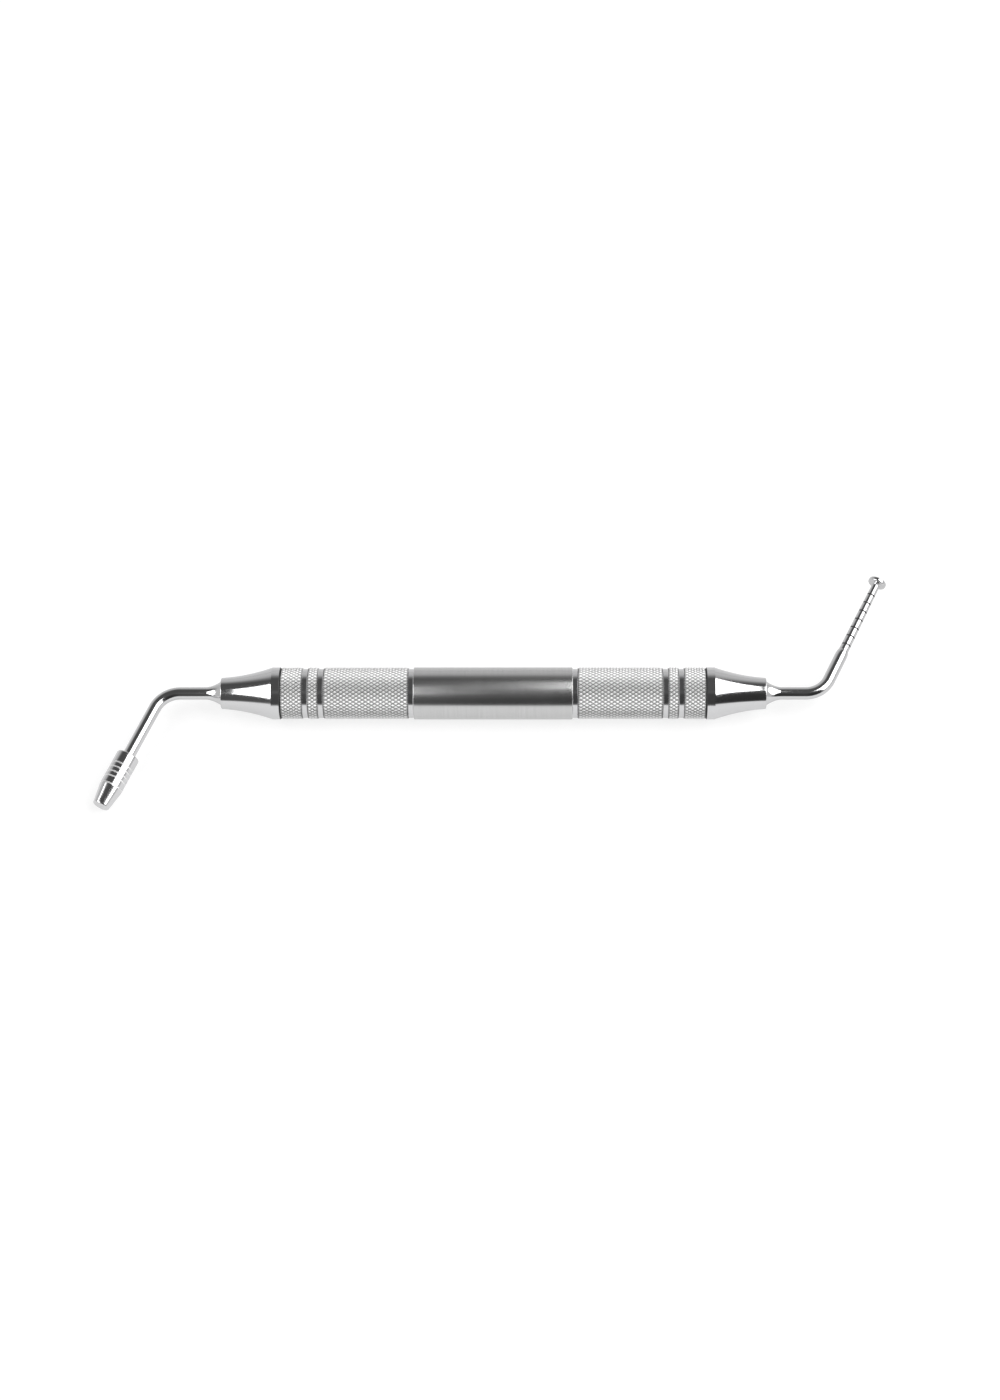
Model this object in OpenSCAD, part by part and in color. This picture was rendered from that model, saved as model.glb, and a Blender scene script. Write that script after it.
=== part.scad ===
// Double-ended bone packer: a knurled hollow handle, two polished end cones
// and two bent working tips. It lies on a flat surface, on its handle and
// on the wide tip's head. The handle runs along X, millimetres throughout.

/* [Handle tube] */
// Outer diameter of the handle
handle_d = 10; // [9.4:0.1:12]
// Length of the tube between the two end cones
handle_len = 81.6; // [70:0.2:100]
// Diameter of the bore through the tube
bore_d = 8; // [6.8:0.1:8.2]
// Chamfer on each side of the seams between tube and cones
seam_chamfer = 0.12; // [0.05:0.01:0.2]

/* [Ring grooves] */
// Width of a ring groove
groove_w = 1; // [0.6:0.1:1.4]
// Depth of a ring groove
groove_depth = 0.3; // [0.2:0.05:0.4]
// Width of each sloping side of a ring groove
groove_side = 0.1; // [0.05:0.01:0.2]
// Outer groove, from the end of the tube to its middle
groove_outer = 4.8; // [3.6:0.1:5.6]
// Second groove, from the end of the tube to its middle
groove_second = 7.8; // [7.2:0.1:10]
// Inner groove, from the end of the tube to its middle
groove_inner = 25.1; // [16:0.1:27]

/* [Diamond knurling] */
// Number of diamonds round the handle
knurl_starts = 40; // [24:1:40]
// Angle of the knurl lines to the handle's axis
knurl_angle = 30; // [20:1:32]
// Height of the diamonds
knurl_depth = 0.24; // [0.08:0.01:0.3]

/* [End cones] */
// Length of a cone from the tube to its front face
cone_len = 11.5; // [9:0.1:15]
// Length of the straight band beside the tube
cone_band = 1.6; // [1:0.1:3]
// Diameter of the cone's front face
cone_front_d = 6; // [5.4:0.1:7]
// How far the taper is hollowed below a straight one
cone_hollow = 0.34; // [0:0.02:0.5]
// Rounding of the front face's edge
cone_edge_r = 0.2; // [0.1:0.05:0.4]
// Length of the spigot inside the tube
spigot_len = 9; // [5:0.5:15]

/* [Joints between the pieces] */
// Radial gap of the spigots and tangs in their bores
fit_gap = 0.05; // [0.02:0.01:0.1]
// Diameter of the tang of a tip
tang_d = 3.2; // [2.4:0.1:3.8]
// Length of the tang inside the cone
tang_len = 14; // [8:0.5:18]

/* [Necks and shanks] */
// Diameter of the neck cone where it sits on the end cone
neck_d = 4.7; // [4.2:0.1:5.4]
// Length of the neck cone
neck_len = 2.8; // [2:0.1:5]
// How far the neck cone is hollowed below a straight one
neck_hollow = 0.2; // [0:0.02:0.22]
// Diameter of the bent shanks
shank_d = 2.4; // [2:0.1:3]
// Radius of the bends on the shank's middle line
bend_r = 5.2; // [4:0.1:7]

/* [Wide tip] */
// Bend of the wide tip
wide_bend = 66; // [50:1:80]
// From the end cone's face to the corner of the bend
wide_run = 11.3; // [9:0.1:16]
// From the corner of the bend to the back of the head
wide_reach = 14.4; // [10:0.1:20]
// Diameter of the head
head_d = 4.5; // [3.5:0.1:6]
// Length of the straight part of the head
head_straight = 7.3; // [6:0.1:12]
// Length of the tapered part of the head
head_taper = 4.1; // [3:0.1:6]
// Diameter of the head's flat front
head_front_d = 3.2; // [2.4:0.1:3.4]
// Rounding of the head's edges
head_edge_r = 0.3; // [0.1:0.05:0.5]
// First ring mark, behind the start of the taper
head_mark_first = 0.2; // [0.2:0.05:1]
// From the first ring mark to the second one
head_mark_gap = 1.5; // [1:0.1:2]
// Spacing of the second ring mark and those behind it
head_mark_pitch = 1; // [0.6:0.1:1]

/* [Narrow tip] */
// Bend of the narrow tip
narrow_bend = 64; // [50:1:80]
// From the end cone's face to the corner of the bend
narrow_run = 10.8; // [9:0.1:16]
// From the corner of the bend to the shoulder of the rod
narrow_reach = 8.4; // [6:0.1:12]
// Length of the shoulder between shank and rod
shoulder_len = 1.6; // [0.8:0.1:2.5]
// Diameter of the rod at the shoulder
rod_d = 1.9; // [1.6:0.05:1.95]
// Diameter of the rod at the disc
rod_end_d = 1.5; // [1.2:0.05:1.6]
// Length of the graduated rod from the shoulder to the disc
rod_len = 16; // [15.6:0.1:20]
// Diameter of the end disc
disc_d = 3.5; // [2.5:0.1:5]
// Thickness of the end disc
disc_t = 0.9; // [0.7:0.1:1.5]
// Rounding of the disc's rim
disc_edge_r = 0.3; // [0.1:0.05:0.3]
// Fillet behind the disc and behind the wide tip's head
back_fillet = 0.2; // [0.1:0.05:0.3]
// Number of ring marks on the rod
rod_marks = 7; // [1:1:7]
// First ring mark, from the front of the disc
rod_mark_first = 3.6; // [2:0.1:3.8]
// Spacing of the ring marks
rod_mark_pitch = 2; // [1:0.1:2]

/* [Ring marks] */
// Width of a ring mark
mark_w = 0.3; // [0.2:0.05:0.4]
// Depth of a ring mark
mark_depth = 0.06; // [0.03:0.01:0.1]

/* [Hidden] */

$fn = 96;
head_marks = 5;

handle_r = handle_d / 2;
half_len = handle_len / 2;
face_x = half_len + cone_len;
cone_front_r = cone_front_d / 2;
spigot_r = bore_d / 2 - fit_gap;
spigot_chamfer = 0.4;
tang_r = tang_d / 2;
tang_chamfer = 0.3;
neck_r = neck_d / 2;
shank_r = shank_d / 2;
bend_swell = 0.01;
bend_lap = 1;

// Wide tip, measured along it from the corner of its bend
head_r = head_d / 2;
head_front_r = head_front_d / 2;
head_corner = wide_reach + head_straight;
head_front = head_corner + head_taper;

// Narrow tip, measured the same way
rod_start = narrow_reach + shoulder_len;
disc_back = rod_start + rod_len;
disc_front = disc_back + disc_t;
disc_r = disc_d / 2;

// Knurl lattice: half a diamond is one step round and one row along.
// A plain land beside each groove stands a little above the valleys, and
// the turned core under the diamonds lies below them.
knurl_row = PI * handle_d / knurl_starts / tan(knurl_angle) / 2;
valley_r = handle_r - knurl_depth;
land_r = valley_r + knurl_depth / 4;
root_r = valley_r - 0.12;
// Chamfer where the inner groove meets the smooth middle
groove_edge = 0.1;

// Roll about the handle's axis at which a ring of the wide tip touches the
// surface: s sin(bend) sin(roll) + r sqrt(1 - (sin(bend) sin(roll))^2) = handle_r,
// for a ring of radius r that lies s along the tip. The first to touch counts.
function touching_roll(s, r) =
    let (a = s * sin(wide_bend), b = r * sin(wide_bend), sq = a * a + b * b,
         root = sqrt(pow(a * handle_r, 2) - sq * (handle_r * handle_r - r * r)))
    asin((a * handle_r - root) / sq);
rest_roll = min(touching_roll(head_corner, head_r), touching_roll(head_front, head_front_r));

// Outlines are lists of [distance along the axis, radius].
// Arc about a centre, from one angle to another
function arc(x, r, size, from, to, n = 6) =
    [for (i = [0:n]) let (a = from + (to - from) * i / n) [x + size * cos(a), r + size * sin(a)]];

// Taper hollowed below the straight line between its ends
function hollow_taper(x0, r0, x1, r1, hollow, n = 16) =
    [for (i = [0:n]) let (t = i / n) [x0 + (x1 - x0) * t, r0 + (r1 - r0) * t - 4 * hollow * t * (1 - t)]];

// Flat-bottomed groove with sloping sides between two lands
function flat_groove(x, depth, land) =
    let (g = groove_w / 2, b = g - groove_side)
    [[x - g, land], [x - b, land - depth], [x + b, land - depth], [x + g, land]];

// Square-bottomed ring mark
function ring_mark(x, r) =
    [for (p = [[-1, 0], [-1, mark_depth], [1, mark_depth], [1, 0]]) [x + p[0] * mark_w / 2, r - p[1]]];

// Turns an outline about the X axis
module turned(outline) {
    rotate([90, 0, 90]) rotate_extrude() polygon([for (p = outline) [p[1], p[0]]]);
}

// Rolls the straight-lying instrument into its resting pose
module lying() {
    translate([0, 0, handle_r]) rotate([rest_roll, 0, 0]) children();
}

// Wide end points to -X, narrow end to +X
module at_wide_end() {
    rotate([0, 0, 180]) children();
}

// Bar with a diamond lattice round it; its ends dip to the bottom of the knurl
module knurled_bar(x0, x1) {
    steps = 2 * knurl_starts;
    rows = max(2, round((x1 - x0) / knurl_row));
    function lattice_r(j, k) =
        j == 0 || j == rows || (j + k) % 2 == 0 ? valley_r : handle_r;
    points = [for (j = [0:rows], k = [0:steps - 1])
        let (a = 360 * k / steps, r = lattice_r(j, k))
        [x0 + (x1 - x0) * j / rows, r * cos(a), r * sin(a)]];
    // Each square of the lattice folds along its valley
    skin = [for (j = [0:rows - 1], k = [0:steps - 1])
        let (next = (k + 1) % steps,
             a = j * steps + k, b = j * steps + next,
             c = (j + 1) * steps + next, d = (j + 1) * steps + k)
        each (j + k) % 2 == 0 ? [[a, c, b], [a, d, c]] : [[a, d, b], [b, d, c]]];
    caps = [[for (k = [0:steps - 1]) k],
            [for (k = [steps - 1:-1:0]) rows * steps + k]];
    polyhedron(points, concat(skin, caps));
}

module handle_tube() {
    g = groove_w / 2;
    grooves = [groove_outer, groove_second, groove_inner];
    // Start and end of each knurled band of one half, from the end of the tube
    bands = [[seam_chamfer, groove_outer - g], [groove_outer + g, groove_second - g],
             [groove_second + g, groove_inner - g]];
    // Outline of one half, from the end of the tube inwards
    half = concat(
        [[0, 0], [0, land_r - seam_chamfer]],
        [for (i = [0:2]) each concat(
            [[bands[i][0], land_r], [bands[i][0], root_r], [bands[i][1], root_r]],
            flat_groove(grooves[i], land_r - handle_r + groove_depth, land_r))],
        [[groove_inner + g + groove_edge, handle_r]]);
    color("lightgray") lying() difference() {
        union() {
            turned(concat(
                [for (p = half) [p[0] - half_len, p[1]]],
                [for (i = [len(half) - 1:-1:0]) [half_len - half[i][0], half[i][1]]]));
            for (b = bands, side = [0, 1]) mirror([side, 0, 0])
                knurled_bar(b[0] - half_len, b[1] - half_len);
        }
        rotate([0, 90, 0]) cylinder(d = bore_d, h = handle_len + 2, center = true);
    }
}

// Cone with its spigot, from the seam outwards along +X
module end_cone() {
    e = cone_edge_r;
    difference() {
        turned(concat(
            [[-spigot_len, 0], [-spigot_len, spigot_r - spigot_chamfer],
             [spigot_chamfer - spigot_len, spigot_r], [0, spigot_r],
             [0, handle_r - seam_chamfer], [seam_chamfer, handle_r]],
            hollow_taper(cone_band, handle_r, cone_len - e, cone_front_r, cone_hollow),
            arc(cone_len - e, cone_front_r - e, e, 75, 0),
            [[cone_len, 0]]));
        rotate([0, 90, 0]) translate([0, 0, -spigot_len - 1])
            cylinder(r = tang_r + fit_gap, h = spigot_len + cone_len + 2);
    }
}

module wide_end_cone() {
    color("silver") lying() at_wide_end() translate([half_len, 0, 0]) end_cone();
}

module narrow_end_cone() {
    color("silver") lying() translate([half_len, 0, 0]) end_cone();
}

// Tang, neck cone and bent shank from the cone's front face along +X. The
// corner of the bend lies run away, and far_outline starts from that corner.
// The bend is a hair thicker than the straights and reaches a little way over
// both of them, so that no two surfaces meet at a tangent.
module bent_tip(run, bend, far_outline) {
    tangent = bend_r * tan(bend / 2);
    turned(concat(
        [[-tang_len, 0], [-tang_len, tang_r - tang_chamfer], [tang_chamfer - tang_len, tang_r],
         [0, tang_r]],
        hollow_taper(0, neck_r, neck_len, shank_r, neck_hollow, 10),
        [[run - tangent, shank_r], [run - tangent, 0]]));
    translate([run - tangent, bend_r, 0]) rotate([0, 0, -90 - bend_lap])
        rotate_extrude(angle = bend + 2 * bend_lap)
            translate([bend_r, 0]) circle(r = shank_r + bend_swell);
    translate([run, 0, 0]) rotate([0, 0, bend])
        turned(concat([[tangent, 0], [tangent, shank_r]], far_outline));
}

module wide_packer_tip() {
    e = head_edge_r;
    f = back_fillet;
    slope = atan((head_r - head_front_r) / head_taper);
    first = head_corner - head_mark_first;
    marks = concat([for (i = [head_marks - 2:-1:0]) first - head_mark_gap - i * head_mark_pitch],
                   [first]);
    front_edge_r = head_r - (head_taper - e) * tan(slope) - e / cos(slope);
    color("silver") lying() at_wide_end() translate([face_x, 0, 0])
        bent_tip(wide_run, wide_bend, concat(
            arc(wide_reach - f, shank_r + f, f, 270, 360),
            arc(wide_reach + e, head_r - e, e, 180, 90),
            [for (s = marks) each ring_mark(s, head_r)],
            [[head_corner, head_r]],
            arc(head_front - e, front_edge_r, e, 90 - slope, 0),
            [[head_front, 0]]));
}

module narrow_packer_tip() {
    e = disc_edge_r;
    f = back_fillet;
    rod_r = rod_d / 2;
    rod_end_r = rod_end_d / 2;
    function rod_r_at(s) = rod_r + (rod_end_r - rod_r) * (s - rod_start) / rod_len;
    shoulder = [for (i = [0:8]) let (a = 90 * i / 8)
        [narrow_reach + shoulder_len * sin(a), rod_r + (shank_r - rod_r) * cos(a)]];
    marks = [for (i = [rod_marks - 1:-1:0]) disc_front - rod_mark_first - i * rod_mark_pitch];
    color("silver") lying() translate([face_x, 0, 0])
        bent_tip(narrow_run, narrow_bend, concat(
            shoulder,
            [for (s = marks) each ring_mark(s, rod_r_at(s))],
            arc(disc_back - f, rod_end_r + f, f, 270, 360),
            arc(disc_back + e, disc_r - e, e, 180, 90),
            arc(disc_front - e, disc_r - e, e, 90, 0),
            [[disc_front, 0]]));
}

handle_tube();
wide_end_cone();
narrow_end_cone();
wide_packer_tip();
narrow_packer_tip();
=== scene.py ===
"""Looks of a double-ended bone packer, built around its packed CAD frame.

The handle runs along X and lies on the floor at z = 0, all in metres. Each piece
is drawn along its own axis first and then laid down as the CAD frame has it.
"""

import math

import bmesh
import bpy
from bpy.props import FloatProperty, FloatVectorProperty, IntProperty, PointerProperty
from mathutils import Matrix, Vector


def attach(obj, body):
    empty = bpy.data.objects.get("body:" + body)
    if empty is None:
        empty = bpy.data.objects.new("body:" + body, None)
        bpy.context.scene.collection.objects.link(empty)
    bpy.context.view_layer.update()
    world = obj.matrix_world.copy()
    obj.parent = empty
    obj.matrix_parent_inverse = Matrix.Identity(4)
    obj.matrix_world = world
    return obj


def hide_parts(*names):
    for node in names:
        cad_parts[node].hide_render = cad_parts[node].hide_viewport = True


bl_info = {
    "name": "Bone packer",
    "version": (1, 0, 0),
    "blender": (4, 5, 0),
    "location": "3D View > Sidebar > Bone Packer",
    "description": "Builds a knurled, double-ended bone packer and its photo stage",
    "category": "Add Mesh",
}

MM = 0.001
PHOTO_SIZE = (1000, 1400)
PHOTO_FOCAL_PIXELS = 2913
MERGE_DISTANCE = 0.001 * MM
# Shares of the knurl's depth over which the valleys' dark, partly grime and partly painted shade,
# gives way to the facets' grey, and then its rubbed crest comes in
VALLEY_GRIME_AND_SHADE_FADE = (0.0, 0.45)
CREST_WEAR = (0.85, 0.97)

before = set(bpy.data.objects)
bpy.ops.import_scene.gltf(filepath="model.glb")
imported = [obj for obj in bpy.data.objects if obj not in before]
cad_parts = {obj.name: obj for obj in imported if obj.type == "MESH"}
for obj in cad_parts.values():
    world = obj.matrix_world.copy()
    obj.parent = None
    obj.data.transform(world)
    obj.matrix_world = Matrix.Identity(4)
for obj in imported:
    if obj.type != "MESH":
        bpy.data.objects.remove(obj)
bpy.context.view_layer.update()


# Sizes and colours that a user may change


def length(name, millimetres, description):
    """A length property, given in millimetres."""
    return FloatProperty(name=name, description=description, default=millimetres * MM,
                         min=0, precision=5, subtype="DISTANCE", unit="LENGTH")


def angle(name, degrees, description):
    """An angle property, given in degrees."""
    return FloatProperty(name=name, description=description, default=math.radians(degrees),
                         subtype="ANGLE", unit="ROTATION")


def share(name, value, description):
    """A factor from 0 to 1."""
    return FloatProperty(name=name, description=description, default=value, min=0, max=1,
                         subtype="FACTOR")


def grey(name, value, description):
    """A colour property that starts as a neutral grey."""
    return FloatVectorProperty(name=name, description=description, default=(value,) * 3,
                               size=3, min=0, max=1, subtype="COLOR")


class HandleSizes(bpy.types.PropertyGroup):
    """Sizes of the handle tube, its ring grooves and its knurling"""

    diameter: length("Diameter", 10, "Outer diameter of the handle")
    length: length("Length", 81.6, "Length of the tube between the end cones")
    bore: length("Bore", 8, "Diameter of the bore through the tube")
    seam_chamfer: length("Seam chamfer", 0.12, "Chamfer at each end of the tube")
    groove_width: length("Groove width", 1, "Width of a ring groove")
    groove_depth: length("Groove depth", 0.3, "Depth of a ring groove")
    groove_side: length("Groove side", 0.1, "Width of each sloping side of a groove")
    groove_outer: length("Outer groove", 4.8, "From the tube's end to the outer groove")
    groove_second: length("Second groove", 7.8, "From the tube's end to the second groove")
    groove_inner: length("Inner groove", 25.1, "From the tube's end to the inner groove")
    diamonds: IntProperty(name="Diamonds", description="Knurl diamonds round the handle",
                          default=40, min=12)
    knurl_angle: angle("Knurl angle", 34, "Angle of the knurl lines to the handle's axis")
    knurl_depth: length("Knurl depth", 0.24, "Height of the knurl diamonds")
    crest_flat: share("Crest", 1, "Height at which the diamonds are cut off; 1 is pointed")
    diamond_steps: IntProperty(name="Steps", description="Mesh steps across one diamond",
                               default=4, min=2)


class ConeSizes(bpy.types.PropertyGroup):
    """Sizes of the two polished end cones"""

    length: length("Length", 11.5, "From the tube to the cone's front face")
    band: length("Straight band", 1.6, "Length of the straight band beside the tube")
    front: length("Front diameter", 6, "Diameter of the cone's front face")
    hollow: length("Hollow", 0.34, "How far the taper is hollowed below a straight one")
    edge: length("Edge", 0.2, "Rounding of the front face's edge")
    spigot: length("Spigot", 9, "Length of the spigot inside the tube")
    gap: length("Gap", 0.05, "Radial gap of spigots and tangs in their bores")


class TipSizes(bpy.types.PropertyGroup):
    """Sizes of the two bent packer tips"""

    tang: length("Tang diameter", 3.2, "Diameter of the tang inside the cone")
    tang_length: length("Tang length", 14, "Length of the tang inside the cone")
    neck: length("Neck diameter", 4.7, "Diameter of the neck cone at its foot")
    neck_length: length("Neck length", 2.8, "Length of the neck cone")
    neck_hollow: length("Neck hollow", 0.2, "How far the neck cone is hollowed")
    shank: length("Shank diameter", 2.4, "Diameter of the bent shanks")
    bend_radius: length("Bend radius", 5.2, "Radius of the bends on the middle line")
    fillet: length("Back fillet", 0.2, "Fillet behind the head and behind the disc")
    edge: length("Edge", 0.3, "Rounding of the head's and the disc's edges")
    wide_bend: angle("Wide bend", 66, "Bend of the wide tip")
    wide_run: length("Wide run", 11.3, "From the cone's face to the corner of the bend")
    wide_reach: length("Wide reach", 14.4, "From the corner to the back of the head")
    head: length("Head diameter", 4.5, "Diameter of the head")
    head_straight: length("Head straight", 7.3, "Length of the head's straight part")
    head_taper: length("Head taper", 4.1, "Length of the head's tapered part")
    head_front: length("Head front", 3.2, "Diameter of the head's flat front")
    narrow_bend: angle("Narrow bend", 64, "Bend of the narrow tip")
    narrow_run: length("Narrow run", 10.8, "From the cone's face to the corner of the bend")
    narrow_reach: length("Narrow reach", 8.4, "From the corner to the rod's shoulder")
    shoulder: length("Shoulder", 1.6, "Length of the shoulder between shank and rod")
    rod: length("Rod diameter", 1.9, "Diameter of the rod at its shoulder")
    rod_end: length("Rod end diameter", 1.5, "Diameter of the rod at the disc")
    rod_length: length("Rod length", 16, "From the shoulder to the disc")
    disc: length("Disc diameter", 3.5, "Diameter of the end disc")
    disc_thickness: length("Disc thickness", 0.9, "Thickness of the end disc")


class RingMarkSizes(bpy.types.PropertyGroup):
    """Sizes of the ring marks on both tips"""

    width: length("Width", 0.3, "Width of a ring mark")
    depth: length("Depth", 0.06, "Depth of a ring mark")
    fill: length("Fill", 0.02, "Thickness of the finish in the bottom of a mark")
    head_count: IntProperty(name="Head marks", description="Ring marks on the wide head",
                            default=5, min=2)
    head_first: length("First on head", 0.2, "First mark, behind the start of the taper")
    head_gap: length("Gap on head", 1.5, "From the first mark on the head to the second")
    head_pitch: length("Pitch on head", 1, "Spacing of the other marks on the head")
    rod_count: IntProperty(name="Rod marks", description="Ring marks on the narrow rod",
                           default=7, min=1)
    rod_first: length("First on rod", 3.6, "First mark, from the front of the disc")
    rod_pitch: length("Pitch on rod", 2, "Spacing of the marks on the rod")


class SteelFinishes(bpy.types.PropertyGroup):
    """Colours and gloss of the steel surfaces"""

    satin: grey("Satin steel", 0.64, "Colour of the handle's plain middle")
    satin_roughness: share("Satin roughness", 0.24, "Roughness of the plain middle")
    crest: grey("Knurl crests", 0.93, "Colour of the knurl where hands have rubbed it")
    facet: grey("Knurl facets", 0.9, "Colour of the diamonds' sides")
    # The valleys' dark grey is partly grime and partly painted shade.
    valley: grey("Knurl valleys", 0.22, "Colour of the knurl's valleys")
    facet_roughness: share("Facet roughness", 0.6, "Roughness of the diamonds' sides")
    crest_roughness: share("Crest roughness", 0.3, "Roughness of the rubbed crests")
    polished: grey("Polished steel", 0.72, "Colour of the cones and tips")
    polished_roughness: share("Polish roughness", 0.07, "Roughness of the cones and tips")
    etched: grey("Etched marks", 0.9, "Colour of the matt marks on the head")
    dark: grey("Dark marks", 0.035, "Colour of the dark marks on the rod")


class StageSizes(bpy.types.PropertyGroup):
    """Floor, lamps and camera"""

    floor: grey("Floor", 0.8, "Colour of the floor")
    lamp: FloatProperty(name="Lamps", description="Brightness of the softboxes' faces",
                        default=3, min=0)
    sky: FloatProperty(name="Surroundings", description="Brightness of the room's soft light",
                       default=0.2, min=0)
    distance: length("Distance", 559.6, "From the camera to the middle of the handle")
    elevation: angle("Elevation", 57.04, "Height of the camera above the horizon")
    yaw: angle("Yaw", 1.02, "Turn of the camera about the vertical")


# Outlines are lists of (distance along the axis, radius)


def arc(x, r, size, start, end, steps=6):
    """Arc about a centre, from one angle to another in degrees."""
    turns = [math.radians(start + (end - start) * i / steps) for i in range(steps + 1)]
    return [(x + size * math.cos(a), r + size * math.sin(a)) for a in turns]


def hollow_taper(x0, r0, x1, r1, hollow, steps=24):
    """Taper hollowed below the straight line between its ends."""
    return [(x0 + (x1 - x0) * t, r0 + (r1 - r0) * t - 4 * hollow * t * (1 - t))
            for t in (i / steps for i in range(steps + 1))]


def flat_groove(x, half_width, side, depth, land):
    """Flat-bottomed groove with sloping sides between two lands."""
    floor = half_width - side
    return [(x - half_width, land), (x - floor, land - depth),
            (x + floor, land - depth), (x + half_width, land)]


def mark_groove(x, radius, marks):
    """Square-bottomed ring mark."""
    half = marks.width / 2
    return [(x - half, radius), (x - half, radius - marks.depth),
            (x + half, radius - marks.depth), (x + half, radius)]


# Meshes


def rings_to_mesh(bm, rings, loop=False):
    """Skins a row of rings; a ring of one point is a pole, and loop joins last to first."""
    made = [[bm.verts.new(p) for p in ring] for ring in rings]
    for a, b in zip(made, made[1:] + made[:1] if loop else made[1:]):
        n = max(len(a), len(b))
        for k in range(n):
            corners = (a[k % len(a)], a[(k + 1) % len(a)], b[(k + 1) % len(b)], b[k % len(b)])
            bm.faces.new(list(dict.fromkeys(corners)))


def turn(bm, outline, segments, loop=False):
    """Turns an outline about the X axis."""
    turns = [math.tau * k / segments for k in range(segments)]
    rings = [[Vector((x, r * math.cos(a), r * math.sin(a))) for a in turns] if r > 0
             else [Vector((x, 0, 0))] for x, r in outline]
    rings_to_mesh(bm, rings, loop)


def linked_object(name, bm):
    """New object in the scene, made from a bmesh."""
    mesh = bpy.data.meshes.new(name)
    bm.to_mesh(mesh)
    bm.free()
    made = bpy.data.objects.new(name, mesh)
    bpy.context.scene.collection.objects.link(made)
    return made


def steel_object(name, bm, place, materials, sharp_degrees=32):
    """Makes a merged, outward-facing object from a bmesh, with its place in its mesh."""
    bmesh.ops.remove_doubles(bm, verts=bm.verts, dist=MERGE_DISTANCE)
    bmesh.ops.recalc_face_normals(bm, faces=bm.faces)
    made = linked_object(name, bm)
    made.data.transform(place)
    made.data.set_sharp_from_angle(angle=math.radians(sharp_degrees))
    for material in materials:
        made.data.materials.append(material)
    return made


def settle(piece, node=None):
    """Puts a finished piece on the frame."""
    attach(piece, "root")
    if node:
        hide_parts(node)


class Nodes:
    """Adds nodes to a tree, with inputs given as values or as other nodes' outputs."""

    def __init__(self, tree):
        self.tree = tree

    def add(self, kind, inputs=None, **settings):
        """New node, with its inputs by name or number and its other settings."""
        node = self.tree.nodes.new(kind)
        for key, value in settings.items():
            setattr(node, key, value)
        for key, value in (inputs or {}).items():
            if isinstance(value, bpy.types.NodeSocket):
                self.tree.links.new(value, node.inputs[key])
            else:
                node.inputs[key].default_value = value
        return node

    def math(self, operation, *values):
        """Result of a Math node."""
        return self.add("ShaderNodeMath", dict(enumerate(values)), operation=operation).outputs[0]

    def blend(self, factor, low, high):
        """Number that goes from low to high with the factor."""
        return self.add("ShaderNodeMapRange", {0: factor, 3: low, 4: high}).outputs[0]


def emptied(owner):
    """Nodes of a material or a world, with its tree emptied."""
    owner.use_nodes = True
    nodes = Nodes(owner.node_tree)
    nodes.tree.nodes.clear()
    return nodes


def seen_or_mirrored(nodes, ray):
    """1 for what the camera sees, by itself or through the steel, and 0 for other light."""
    return nodes.math("MAXIMUM", ray["Is Camera Ray"],
                      nodes.math("MAXIMUM", ray["Is Glossy Ray"], ray["Is Transmission Ray"]))


def geometry_tree(name, sockets):
    """Empty Geometry Nodes tree with named inputs; gives the nodes and the inputs' outputs."""
    tree = bpy.data.node_groups.new(name, "GeometryNodeTree")
    tree.interface.new_socket("Geometry", in_out="OUTPUT", socket_type="NodeSocketGeometry")
    for label, kind in sockets:
        tree.interface.new_socket(label, in_out="INPUT", socket_type="NodeSocket" + kind)
    nodes = Nodes(tree)
    return nodes, nodes.add("NodeGroupInput").outputs


def end_tree(nodes, geometry, material):
    """Ends a tree in Realize Instances and Set Material."""
    realized = nodes.add("GeometryNodeRealizeInstances", {0: geometry}).outputs[0]
    finished = nodes.add("GeometryNodeSetMaterial", {0: realized, "Material": material})
    nodes.add("NodeGroupOutput", {0: finished.outputs[0]})
    return nodes.tree


def run_tree(tree, values):
    """Plain mesh that a Geometry Nodes tree makes from its named inputs."""
    holder = bpy.data.objects.new(tree.name, bpy.data.meshes.new(tree.name))
    bpy.context.scene.collection.objects.link(holder)
    modifier = holder.modifiers.new(tree.name, "NODES")
    modifier.node_group = tree
    for item in tree.interface.items_tree:
        if item.in_out == "INPUT":
            modifier[item.identifier] = values[item.name]
    bpy.context.view_layer.update()
    seen = holder.evaluated_get(bpy.context.evaluated_depsgraph_get())
    mesh = bpy.data.meshes.new_from_object(seen)
    holder.modifiers.clear()
    bpy.data.objects.remove(holder)
    return mesh


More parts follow.
